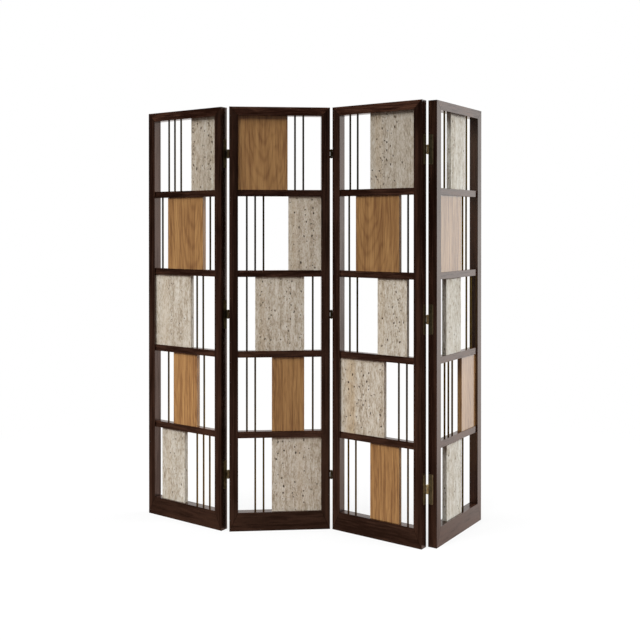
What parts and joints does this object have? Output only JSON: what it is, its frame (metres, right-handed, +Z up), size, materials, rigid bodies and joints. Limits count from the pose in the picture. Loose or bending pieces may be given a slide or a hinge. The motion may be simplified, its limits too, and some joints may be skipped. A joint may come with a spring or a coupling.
{
  "type": "folding screen",
  "caption": "Zigzag folding screen with knuckled hinges: dark wood frames whose cells hold oak and travertine boards beside slim upright metal rods.",
  "frame": {"origin": "on the floor, under the middle of the bounding box of the whole screen as it stands folded in the picture", "axes": "+X to the viewer's right along panel 2, +Y away from the viewer, +Z up"},
  "size_m": [1.4696, 0.5844, 1.8],
  "materials": {
    "dark_wood": "satin",
    "oak": "satin",
    "travertine": "honed",
    "rod_brass": "antique, brushed",
    "hinge_brass": "antique, satin"
  },
  "bodies": {
    "panel_1": {"panel_1_left_stile": "dark_wood", "panel_1_right_stile": "dark_wood", "panel_1_top_rail": "dark_wood", "panel_1_mid_rails": "dark_wood", "panel_1_bottom_rail": "dark_wood", "panel_1_rods": "rod_brass", "panel_1_travertine_board_1": "travertine", "panel_1_oak_board_2": "oak", "panel_1_travertine_board_3": "travertine", "panel_1_oak_board_4": "oak", "panel_1_travertine_board_5": "travertine", "hinge_1_left_leaves": "hinge_brass", "hinge_1_pins": "hinge_brass", "hinge_1_left_screws": "hinge_brass"},
    "panel_2": {"panel_2_left_stile": "dark_wood", "panel_2_right_stile": "dark_wood", "panel_2_top_rail": "dark_wood", "panel_2_mid_rails": "dark_wood", "panel_2_bottom_rail": "dark_wood", "panel_2_rods": "rod_brass", "panel_2_oak_board_1": "oak", "panel_2_travertine_board_2": "travertine", "panel_2_travertine_board_3": "travertine", "panel_2_oak_board_4": "oak", "panel_2_travertine_board_5": "travertine", "hinge_1_right_leaves": "hinge_brass", "hinge_1_right_screws": "hinge_brass", "hinge_2_left_leaves": "hinge_brass", "hinge_2_pins": "hinge_brass", "hinge_2_left_screws": "hinge_brass"},
    "panel_3": {"panel_3_left_stile": "dark_wood", "panel_3_right_stile": "dark_wood", "panel_3_top_rail": "dark_wood", "panel_3_mid_rails": "dark_wood", "panel_3_bottom_rail": "dark_wood", "panel_3_rods": "rod_brass", "panel_3_travertine_board_1": "travertine", "panel_3_oak_board_2": "oak", "panel_3_travertine_board_3": "travertine", "panel_3_travertine_board_4": "travertine", "panel_3_oak_board_5": "oak", "hinge_2_right_leaves": "hinge_brass", "hinge_2_right_screws": "hinge_brass", "hinge_3_left_leaves": "hinge_brass", "hinge_3_pins": "hinge_brass", "hinge_3_left_screws": "hinge_brass"},
    "panel_4": {"panel_4_left_stile": "dark_wood", "panel_4_right_stile": "dark_wood", "panel_4_top_rail": "dark_wood", "panel_4_mid_rails": "dark_wood", "panel_4_bottom_rail": "dark_wood", "panel_4_rods": "rod_brass", "panel_4_travertine_board_1": "travertine", "panel_4_oak_board_2": "oak", "panel_4_travertine_board_3": "travertine", "panel_4_oak_board_4": "oak", "panel_4_travertine_board_5": "travertine", "hinge_3_right_leaves": "hinge_brass", "hinge_3_right_screws": "hinge_brass"}
  },
  "joints": [
    {"name": "fold_1_2", "type": "hinge", "parent": "panel_2", "child": "panel_1", "pos_m": [-0.37337, 0.01975, 0.9], "axis": [0, 0, -1], "range_deg": [-39, 141]},
    {"name": "fold_2_3", "type": "hinge", "parent": "panel_2", "child": "panel_3", "pos_m": [0.06563, -0.01975, 0.9], "axis": [0, 0, -1], "range_deg": [-39, 141]},
    {"name": "fold_3_4", "type": "hinge", "parent": "panel_3", "child": "panel_4", "pos_m": [0.43165, -0.26532, 0.9], "axis": [0, 0, 1], "range_deg": [-90, 90]}
  ]
}
